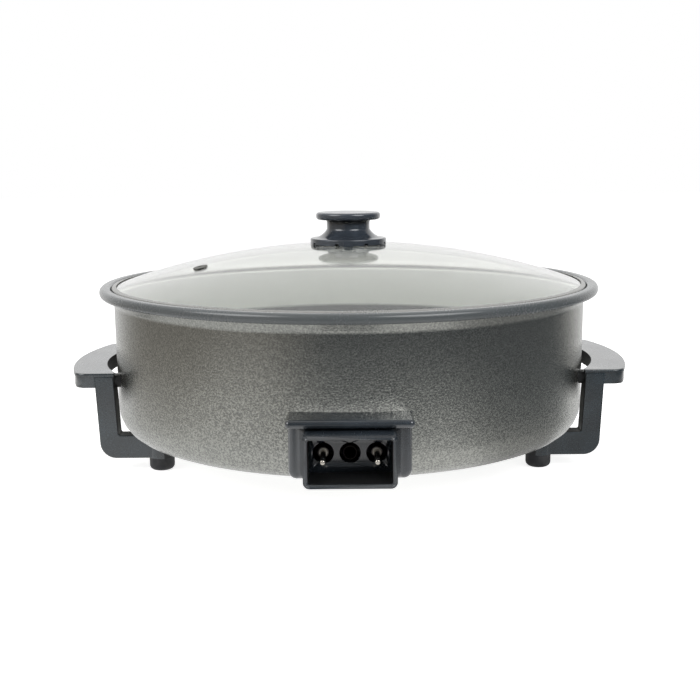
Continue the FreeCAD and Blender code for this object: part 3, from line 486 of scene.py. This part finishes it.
reach = np.linspace(screw_hole, glass_edge, 64)
dome = surface("glass_dome_blown", turned(closed(np.concatenate([
    np.stack([reach, cap(glass_radius, reach)], 1),
    np.stack([reach, cap(glass_radius - glass_sheet, reach)], 1)[::-1]]))) + pan_middle)
dome.data.materials.append(dome_glass())
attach(dome, "lid")
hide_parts("glass_dome")

# Steel band
# A channel of 0.6 mm stainless steel, rolled round the edge of the glass and polished. Its two lips lie
# along the slope of the dome.
band_radius = lid_seat_radius - 0.5 * mm
band_lip = band_radius - 3.8 * mm
band_sheet = 0.6 * mm
band_under = lid_seat + 0.3 * mm
band_top = 146.6 * mm
band_foot_round = 1 * mm
band_top_round = 1.4 * mm
band_rise = cap(glass_radius, band_lip) - cap(glass_radius, glass_edge)


def polished_steel(name, tone, roughness):
    """Stainless steel, polished round its turn, with fine marks."""
    material, tree = new_material(name)
    marked = worn(tree, roughness, spread=0.12, scale=1400.0)
    surface_shader(tree, {
        "Base Color": display(*tone), "Metallic": 1.0, "Roughness": marked["Roughness"],
        "Normal": bump(tree, marked["Height"], strength=0.04, distance=0.1 * mm)})
    return material


band = surface("lid_band_rolled", turned(closed(rounded([
    (band_lip, band_under + band_rise),
    (band_radius, band_under, band_foot_round),
    (band_radius, band_top, band_top_round),
    (band_lip, band_top + band_rise),
    (band_lip, band_top + band_rise - band_sheet),
    (band_radius - band_sheet, band_top - band_sheet, band_top_round - band_sheet),
    (band_radius - band_sheet, band_under + band_sheet, band_foot_round - band_sheet),
    (band_lip, band_under + band_rise + band_sheet),
]))) + pan_middle)
band.data.materials.append(polished_steel("polished steel", (154, 154, 151), roughness=0.26))
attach(band, "lid")
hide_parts("lid_band")

# Steam vent
# A steel eyelet in a hole near the left of the glass, square to the dome and rolled over on both sides. Its
# heights below are over the glass, and its steel is darker and duller than the band's.
vent_place = np.array([-119.5 * mm, -58 * mm])
vent_bore = 1.9 * mm
vent_barrel = 2.8 * mm
vent_cap = 6 * mm
vent_cap_round = 0.6 * mm
vent_cap_under = 0.15 * mm
vent_cap_edge = 1.05 * mm
vent_crown = 1.35 * mm
vent_flange = 5 * mm
vent_flange_top = -4.15 * mm
vent_flange_under = -5.05 * mm

vent_reach = float(np.linalg.norm(vent_place))
vent_across = Vector((-vent_place[1], vent_place[0], 0))
vent_turn = np.array(Matrix.Rotation(math.asin(vent_reach / glass_radius), 3, vent_across))
vent = surface("steam_vent", turned(closed(rounded([
    (vent_bore, vent_flange_under),
    (vent_flange, vent_flange_under),
    (vent_flange, vent_flange_top),
    (vent_barrel, vent_flange_top),
    (vent_barrel, vent_cap_under),
    (vent_cap, vent_cap_under),
    (vent_cap, vent_cap_edge, vent_cap_round),
    (vent_bore, vent_crown, vent_cap_round),
])), steps=64) @ vent_turn.T + np.append(vent_place, cap(glass_radius, vent_reach)) + pan_middle)
vent.data.materials.append(polished_steel("darkened steel", (126, 126, 122), roughness=0.5))
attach(vent, "lid")
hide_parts("vent_eyelet")

# Knob
# Moulded in glossy black phenolic: a round disc on a neck that flares out to the ring under it. The screw
# from inside the lid ends in a blind bore up its middle.
knob_top = 205.4 * mm
knob_crown = 0.4 * mm
knob_disc_under = 199 * mm
knob_radius = 27.3 * mm
knob_round = 2.4 * mm
knob_neck = 18.2 * mm
knob_neck_base = 191 * mm
knob_neck_start = knob_neck_base + 1 * mm
knob_neck_round = 2.5 * mm
knob_flare = 30.6 * mm
knob_flare_arc = 15 * mm
knob_seat = 183.35 * mm
knob_bore = 2.05 * mm
knob_bore_end = 198.8 * mm
neck_finish_top = knob_disc_under + 0.3 * mm
knob_tone = (58, 64, 72)
neck_painted_shade_tone = (54, 60, 68)
neck_painted_shade_heights = (194 * mm, 197.5 * mm)
painted_shade_black = (8, 8, 9)
cloud_shares = (0.86, 1.12)
pale_mirror = (0.85, 0.0)


def soft_step(tree, value, low, high):
    """0 under low, 1 over high, and a smooth step between them."""
    return between(tree, value, (low, high), interpolation_type="SMOOTHSTEP")


def phenolic(name, tone, roughness, coat, pale=None, shade=None):
    """Black moulded phenolic: a cloudy, slightly blue black with the mould's fine grain.

    pale and shade are two heights each. Past the first height of pale the piece glows in a pale tone to
    mirror rays alone, a painted reflection, and past the second mirrors see it as it is, because the
    hammered paint beside it shows hardly any dark image of it in the photograph. From the first height of
    shade to its second the colour turns black and the coat fades away, a painted shade.
    """
    material, tree = new_material(name)
    place = on_object(tree)
    height = parts_of(tree, place)["Z"]
    dark, light = (display(*(v * share for v in tone)) for share in cloud_shares)
    colour = ramp(tree, noise(tree, place, scale=45.0, detail=3.0), (0.35, dark), (0.65, light))
    grain = noise(tree, place, scale=2600.0, detail=1.0)
    inputs = {
        "Base Color": colour, "Roughness": worn(tree, roughness, spread=0.14)["Roughness"], "IOR": 1.6,
        "Coat Weight": coat, "Coat IOR": 1.6, "Coat Roughness": 0.12,
        "Normal": bump(tree, grain, strength=0.08, distance=0.15 * mm)}
    if shade:
        # Painted shade: black and without coat between the two heights of shade.
        share = soft_step(tree, height, *shade)
        inputs["Base Color"] = blend(tree, share, colour, display(*painted_shade_black))
        inputs["Coat Weight"] = count(tree, "MULTIPLY_ADD", share, -coat, coat)
    if pale:
        # Painted reflection: a pale glow that only mirror rays see.
        mirrors = add(tree, "ShaderNodeLightPath").outputs["Is Glossy Ray"]
        share = between(tree, height, pale, pale_mirror)
        inputs["Emission Color"] = count(tree, "MULTIPLY", share, mirrors)
        inputs["Emission Strength"] = 1.0
    surface_shader(tree, inputs)
    return material


def flare_arc(start, end, radius, steps=14):
    """A hollow arc from one point to another, whose middle lies to its left."""
    start, end = np.array(start), np.array(end)
    along = end - start
    half = np.linalg.norm(along) / 2
    left = np.array([-along[1], along[0]]) / (2 * half)
    middle = (start + end) / 2 - left * math.sqrt(radius ** 2 - half ** 2)
    first, last = start - middle, end - middle
    spread = math.acos(float(first @ last) / radius ** 2)
    share = np.linspace(0, 1, steps + 1)[:, None]
    return middle + (np.sin((1 - share) * spread) * first + np.sin(share * spread) * last) / math.sin(spread)


knob_gloss = phenolic("glossy phenolic", knob_tone, roughness=0.22, coat=0.4)
# The neck and flare are a little darker than the disc and turn black just under it: painted shade.
neck_gloss_with_painted_shade = phenolic("glossy phenolic of the neck, with painted shade", neck_painted_shade_tone, roughness=0.22, coat=0.5, shade=neck_painted_shade_heights)
knob = surface("knob_turned", turned(np.concatenate([
    np.array([[0, knob_bore_end], [knob_bore, knob_bore_end], [knob_bore, knob_seat]]),
    flare_arc((knob_flare, knob_seat), (knob_neck, knob_neck_base), knob_flare_arc),
    rounded([
        (knob_neck, knob_neck_start),
        (knob_neck, knob_disc_under, knob_neck_round),
        (knob_radius, knob_disc_under, knob_round),
        (knob_radius, knob_top - knob_crown, knob_round),
        (0, knob_top)], steps=8),
]), steps=192) + pan_middle)
knob.data.materials.append(knob_gloss)
knob.data.materials.append(neck_gloss_with_painted_shade)
under_disc = polygon_centres(knob)[:, 2] < neck_finish_top
knob.data.polygons.foreach_set("material_index", under_disc.astype(np.int32))
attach(knob, "lid")
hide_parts("knob_grip")

# Ring under the knob
# A ring of the knob's phenolic that spreads its pull on the glass, with a gasket in its hollow underside. It
# has eight small notches in its lower edge and a lug at the front.
ring_radius = 32.35 * mm
ring_under = 178.35 * mm
ring_bore = 3.5 * mm
ring_recess = 25 * mm
ring_ceiling = 179.95 * mm
ring_round = 1 * mm
notch_width = 3.6 * mm
notch_height = 1.8 * mm
notch_count = 8
notch_turn = math.radians(27.5)
lug_width = 9 * mm
lug_depth = 2.6 * mm
lug_proud = 0.4 * mm
lug_drop = 0.35 * mm
lug_shoulder = 1.2 * mm
lug_round = 0.8 * mm


def notched_ring():
    """The ring's section carried round the axis, with its lower edge lifted inside each notch.

    Every side of a notch is two rows at one angle, one with the low edge and one with the lifted edge.
    """
    half = notch_width / 2 / ring_radius
    pitch = 2 * np.pi / notch_count
    notch = np.linspace(-half, half, 5)
    land = half + np.linspace(0, pitch - 2 * half, 16)
    middle = notch_turn + np.arange(notch_count) * pitch
    angle = (middle[:, None] + np.append(notch, land)).ravel()
    lift = np.tile(np.append(np.ones(len(notch)), np.zeros(len(land))), notch_count) * notch_height
    angle, lift = np.append(angle, angle[0] + 2 * np.pi), np.append(lift, lift[0])
    edge = rounded([(ring_radius, ring_under), (ring_radius, knob_seat, ring_round), (ring_bore, knob_seat)])
    radius = np.concatenate([[ring_bore, ring_recess, ring_recess], edge[:, 0], [ring_bore]])
    height = np.concatenate([[ring_ceiling, ring_ceiling, ring_under], edge[:, 1], [ring_ceiling]])
    low = np.zeros(len(radius))
    low[2:4] = 1
    height = height + lift[:, None] * low
    return np.stack([np.cos(angle)[:, None] * radius, np.sin(angle)[:, None] * radius, height], -1)


def block(low, high, edge):
    """A box with rounded upright edges and flat ends: its plan carried upwards and closed at its middle."""
    plan = rounded([
        (0, low[1]), (high[0], low[1], edge), (high[0], high[1], edge), (low[0], high[1], edge),
        (low[0], low[1], edge), (0, low[1])])
    under, top = [np.c_[plan, np.full(len(plan), z)] for z in (low[2], high[2])]
    centre = np.array([(low[0] + high[0]) / 2, (low[1] + high[1]) / 2])
    ends = [np.stack([rim, np.c_[np.tile(centre, (len(rim), 1)), rim[:, 2]]], 1) for rim in (under, top)]
    return [np.stack([under, top], 1)] + ends


lug_low = (-lug_width / 2, pan_axis - ring_radius - lug_proud, ring_under - lug_drop)
lug_high = (lug_width / 2, pan_axis - ring_radius + lug_depth, knob_seat - lug_shoulder)
knob_ring = surface("knob_ring", notched_ring() + pan_middle, *block(lug_low, lug_high, lug_round))
knob_ring.data.materials.append(knob_gloss)
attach(knob_ring, "lid")
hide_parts("knob_base")

# Socket guard and handles
# Compression mouldings in satin black phenolic, screwed to the casing from inside: a deep shroud round the
# socket, with a ledge over it, and two D-shaped grips, each in one with two legs that turn in underneath.
guard_tone = (36, 42, 48)
handle_tone = (34, 44, 50)
painted_shade_phenolic_tone = (10, 11, 13)
handle_pale = (54 * mm, 69 * mm)
ledge_pale = (72 * mm, 70 * mm)
mouth_half_width = 29 * mm
mouth_low = 34.6 * mm
mouth_high = 65.4 * mm
panel = casing_radius + 4.8 * mm
grip_skin_top = 80.8 * mm
leg_inside = 189 * mm
block_under = 60 * mm
arm_top = 33 * mm
# The near-black dull finishes are painted shade inside the shroud and where the handles face the casing.
guard_finishes = (
    phenolic("guard phenolic", guard_tone, roughness=0.24, coat=1.0),
    phenolic("guard phenolic darkened as painted shade", painted_shade_phenolic_tone, roughness=0.6, coat=0.0),
    phenolic("guard phenolic on top", guard_tone, roughness=0.24, coat=1.0, pale=ledge_pale))
# The pale heights make the legs of the handles and the top of the ledge glow to mirrors, a painted
# reflection.
handle_finishes = (
    phenolic("handle phenolic", handle_tone, roughness=0.28, coat=0.7, pale=handle_pale),
    phenolic("handle phenolic darkened as painted shade", painted_shade_phenolic_tone, roughness=0.6, coat=0.0, pale=handle_pale))


def moulded(name, node, finishes, choose):
    """A smooth copy of a CAD node whose form is right: its triangles merged, its hard edges kept.

    The function choose gives each face's finish by number, from the faces' centres and normals.
    """
    piece = finished(name, frame["nodes"][node].data.copy(), sharp=28.0)
    piece.data.materials.clear()
    for finish in finishes:
        piece.data.materials.append(finish)
    normals = np.empty(3 * len(piece.data.polygons))
    piece.data.polygons.foreach_get("normal", normals)
    chosen = choose(*polygon_centres(piece).T, *normals.reshape(-1, 3).T)
    piece.data.polygons.foreach_set("material_index", chosen.astype(np.int32))
    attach(piece, "root")
    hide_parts(node)


def guard_finish(x, y, z, nx, ny, nz):
    """0 for the polished outside, 1 inside the socket's shroud, dull and darkened as painted shade, and 2 on
    top of the ledge, which glows pale to mirrors as a painted reflection.
    """
    mouth = (abs(x) < mouth_half_width) & (y < -panel) & (z > mouth_low) & (z < mouth_high)
    top = (nz > 0.9) & (z > ledge_pale[0])
    return 1 * mouth + 2 * top


def handle_finish(x, y, z, nx, ny, nz):
    """0 for the polished outside, 1 where a handle faces the casing, on its blocks and on its lower arms,
    dull and darkened there as painted shade.
    """
    to_casing = (nx * np.sign(x) < -0.3) & (z < grip_skin_top)
    blocks = (abs(x) < leg_inside) & (z > block_under) & (z < grip_skin_top)
    arms = (nz > 0.5) & (z < arm_top)
    return to_casing | blocks | arms


moulded("guard_moulding", "socket_guard", guard_finishes, guard_finish)
for side in ("left", "right"):
    moulded(f"handle_moulding_{side}", f"handle_{side}", handle_finishes, handle_finish)

# Feet
# Four turned rubber feet under the ends of the legs. Each has a bore for the screw that holds it, and a wide
# recess below for the screw's head.
foot_radius = 10.2 * mm
foot_height = 10.5 * mm
foot_round = 4 * mm
foot_bore = 2.3 * mm
foot_recess = 5 * mm
foot_recess_top = 6 * mm
rubber_tone = (38, 39, 42)
dust_tone = (70, 70, 70)


def foot_rubber():
    """Dark moulded rubber, dull, with dust in its fine grain."""
    material, tree = new_material("foot rubber")
    dust = noise(tree, on_object(tree), scale=130.0, detail=5.0)
    surface_shader(tree, {
        "Base Color": ramp(tree, dust, (0.4, display(*rubber_tone)), (0.75, display(*dust_tone))),
        "Roughness": worn(tree, roughness=0.62, spread=0.15)["Roughness"]})
    return material


rubber = foot_rubber()
foot_grid = turned(closed(rounded([
    (foot_recess, 0),
    (foot_radius, 0, foot_round),
    (foot_radius, foot_height),
    (foot_bore, foot_height),
    (foot_bore, foot_recess_top),
    (foot_recess, foot_recess_top),
])), steps=64)
for end in ("front", "rear"):
    for side in ("left", "right"):
        node = f"foot_{end}_{side}"
        low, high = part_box(node)
        middle = (low + high) / 2
        foot = surface(f"rubber_{node}", foot_grid + np.array([middle.x, middle.y, 0]))
        foot.data.materials.append(rubber)
        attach(foot, "root")
        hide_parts(node)

# Metal, ceramic and gasket inside
# The heater and its plates, the probe's sleeve, the pins and their insulators, and the screws, nuts and
# gasket keep their CAD form. Each gets the finish of its material, and the sleeve is darkened, a painted
# shade in its hole.


def bare_metal(name, tone, roughness, spread):
    """A plain metal with fine marks."""
    material, tree = new_material(name)
    marked = worn(tree, roughness, spread)
    surface_shader(tree, {"Base Color": display(*tone), "Metallic": 1.0, "Roughness": marked["Roughness"]})
    return material


def cloudy(name, dark, light, roughness):
    """A dull material whose tone drifts between two colours."""
    material, tree = new_material(name)
    drift = noise(tree, on_object(tree), scale=160.0, detail=4.0)
    surface_shader(tree, {
        "Base Color": ramp(tree, drift, (0.35, display(*dark)), (0.7, display(*light))),
        "Roughness": worn(tree, roughness, spread=0.1)["Roughness"]})
    return material


finishes = {
    "zinc_steel": bare_metal("zinc plated steel", (176, 180, 184), roughness=0.34, spread=0.2),
    "nickel_pin": bare_metal("nickel plate", (212, 206, 196), roughness=0.18, spread=0.1),
    "heater_steel": bare_metal("heater sheath", (120, 116, 110), roughness=0.45, spread=0.25),
    "plain_aluminium": bare_metal("plain aluminium", (190, 191, 192), roughness=0.4, spread=0.2),
    "ceramic": cloudy("ceramic", (206, 200, 188), (228, 224, 214), roughness=0.5),
    "silicone": cloudy("silicone", (150, 150, 148), (172, 172, 168), roughness=0.55),
}
# Painted shade: the sleeve's metal is dark because it sits deep in its hole.
sleeve_painted_shade_metal = bare_metal("sleeve darkened as painted shade", (40, 38, 36), roughness=0.6, spread=0.1)
for item in frame["record"]["subparts"]:
    finish = sleeve_painted_shade_metal if item["node"] == "probe_sleeve" else finishes.get(item["material_slot"])
    if finish:
        cad = frame["nodes"][item["node"]]
        cad.data.materials.clear()
        cad.data.materials.append(finish)

# Stage, light and camera
# A white floor in a room that is pale behind the part and at the left, and dark in front at the right. Soft
# lamps stand at the left, at the right and above, and the camera is low in front of the socket.
room_left = (0.375, 0.352, 0.325, 1)
room_right = (0.12, 0.132, 0.143, 1)
room_light = grey(0.34)
spot_light = grey(4.5)
spot_rise = 35
glass_light = grey(2.06)
paper_white = grey(0.8)
paper_near = grey(0.97)
paper_near_right = grey(0.46)
floor_half = 6
lamp_aim = Vector((0, 0, 0.1))


def toward(tree, way, degrees, low, high, rise=0.0):
    """How much a direction points to a place in front of the part.

    The place lies some degrees to the right of straight ahead and rises above the level.
    """
    angle, lift = math.radians(degrees), math.radians(rise)
    place = (math.sin(angle) * math.cos(lift), -math.cos(angle) * math.cos(lift), math.sin(lift))
    cosine = add(tree, "ShaderNodeVectorMath", {0: way, 1: place}, operation="DOT_PRODUCT")
    return soft_step(tree, cosine.outputs["Value"], low, high)


def to_right(tree, way):
    """0 for a direction to the left of the room, 1 for one to its dark right side."""
    return toward(tree, way, degrees=48, low=0.05, high=0.6)


def white_paper():
    """A matt white floor, which mirrors see as white near the part and in the room's tone far from it.

    The change comes nearer at the right and at both sides, and there is none behind the part.
    """
    material, tree = new_material("white paper")
    place = on_object(tree)
    rays = add(tree, "ShaderNodeLightPath").outputs
    glossy = rays["Is Glossy Ray"]
    way = add(tree, "ShaderNodeVectorMath", {0: place}, operation="NORMALIZE").outputs[0]
    distance = add(tree, "ShaderNodeVectorMath", {0: place}, operation="LENGTH").outputs["Value"]
    parts = parts_of(tree, way)
    right = to_right(tree, way)
    aside = soft_step(tree, count(tree, "ABSOLUTE", parts["X"]), 0.75, 0.97)
    stretch = count(tree, "MULTIPLY_ADD", right, 0.38, 0.95)
    stretch = count(tree, "MULTIPLY_ADD", aside, 0.45, stretch)
    far = soft_step(tree, count(tree, "MULTIPLY", distance, stretch), 0.25, 0.9)
    ahead = soft_step(tree, count(tree, "MULTIPLY", parts["Y"], -1.0), -0.9, -0.2)
    near_right = toward(tree, way, degrees=66, low=0.84, high=0.985)
    near = blend(tree, near_right, paper_near, paper_near_right)
    sheet = blend(tree, count(tree, "MULTIPLY", far, ahead), near, blend(tree, right, room_left, room_right))
    seen = count(tree, "MAXIMUM", rays["Is Camera Ray"], rays["Is Transmission Ray"])
    matt = add(tree, "ShaderNodeBsdfDiffuse", {"Color": blend(tree, glossy, paper_white, grey(0))})
    glow = add(tree, "ShaderNodeEmission", {
        "Color": blend(tree, glossy, paper_white, sheet), "Strength": count(tree, "MAXIMUM", seen, glossy)})
    both = add(tree, "ShaderNodeAddShader", {0: matt.outputs[0], 1: glow.outputs[0]})
    add(tree, "ShaderNodeOutputMaterial", {"Surface": both.outputs[0]})
    return material


def white_room():
    """The world: white to the camera, the room to mirrors, and a plain grey light to everything else.

    Mirrors see two bright spots in place of the front lamps. Lamplight doesn't pass the glass, so the pan
    under it is lit by a brighter room.
    """
    world = bpy.data.worlds.new("white room")
    world.use_nodes = True
    tree = world.node_tree
    tree.nodes.clear()
    rays = add(tree, "ShaderNodeLightPath").outputs
    way = add(tree, "ShaderNodeTexCoord").outputs["Generated"]
    parts = parts_of(tree, way)
    behind = soft_step(tree, parts["Y"], 0.2, 1.0)
    overhead = soft_step(tree, parts["Z"], 0.5, 0.8)
    above = count(tree, "MULTIPLY", overhead, soft_step(tree, parts["Y"], -0.25, 0.2))
    front = blend(tree, to_right(tree, way), room_left, room_right)
    whole = blend(tree, count(tree, "MAXIMUM", behind, above), front, grey(1))
    left_spot = toward(tree, way, degrees=-57, low=0.92, high=0.985, rise=spot_rise)
    right_spot = toward(tree, way, degrees=39, low=0.91, high=0.98, rise=spot_rise)
    mirrored = blend(tree, count(tree, "ADD", left_spot, right_spot), whole, spot_light)
    tone = blend(tree, rays["Is Glossy Ray"], room_light, mirrored)
    seen = count(tree, "MAXIMUM", rays["Is Camera Ray"], rays["Is Transmission Ray"])
    scattered = count(tree, "MINIMUM", rays["Diffuse Depth"], 1.0)
    through = count(tree, "MULTIPLY", rays["Is Transmission Ray"], scattered)
    white = blend(tree, through, grey(1), glass_light)
    room = add(tree, "ShaderNodeBackground", {"Color": blend(tree, seen, tone, white)})
    add(tree, "ShaderNodeOutputWorld", {"Surface": room.outputs[0]})
    return world


def softbox(name, place, size, power, tint=(1.0, 1.0, 1.0)):
    """A square soft lamp that looks at the part. Neither mirrors nor glass show it."""
    lamp = bpy.data.lights.new(name, "AREA")
    lamp.size = size
    lamp.energy = power
    lamp.color = tint
    light = bpy.data.objects.new(name, lamp)
    light.location = place
    light.rotation_euler = (lamp_aim - Vector(place)).to_track_quat("-Z", "Y").to_euler()
    light.visible_glossy = False
    light.visible_transmission = False
    bpy.context.scene.collection.objects.link(light)


floor_mesh = bpy.data.meshes.new("floor")
floor_corners = [(x * floor_half, y * floor_half, 0) for x, y in ((-1, -1), (1, -1), (1, 1), (-1, 1))]
floor_mesh.from_pydata(floor_corners, [], [(0, 1, 2, 3)])
floor_mesh.materials.append(white_paper())
floor = bpy.data.objects.new("floor", floor_mesh)
bpy.context.scene.collection.objects.link(floor)
floor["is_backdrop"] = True
bpy.context.scene.world = white_room()
softbox("left", (-1.03, -0.67, 0.96), size=0.9, power=11, tint=(1.0, 0.97, 0.93))
softbox("right", (0.77, -0.95, 0.96), size=1.0, power=11)
softbox("top", (0.0, 0.2, 1.5), size=1.2, power=9)

# The picture is 700 pixels wide. Its focal length in pixels, and the camera's place and turns in radians,
# were fitted to the rim, the casing and the feet in the photograph.
focal_pixels = 1114.6
picture_width = 700
camera_distance = 956 * mm
camera_height = 253 * mm
camera_pitch = 0.17335
camera_yaw = 0.0007
camera_roll = -0.0083
lens = bpy.data.cameras.new("camera")
lens.sensor_width = 36
lens.lens = focal_pixels * lens.sensor_width / picture_width
lens.clip_start = 0.01
camera = bpy.data.objects.new("camera", lens)
camera.matrix_world = (
    Matrix.Translation((0, pan_axis - camera_distance, camera_height))
    @ Matrix.Rotation(-camera_yaw, 4, "Z")
    @ Matrix.Rotation(math.pi / 2 - camera_pitch, 4, "X")
    @ Matrix.Rotation(camera_roll, 4, "Z"))
bpy.context.scene.collection.objects.link(camera)
bpy.context.scene.camera = camera
bpy.context.scene.view_settings.view_transform = "Standard"

low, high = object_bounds()
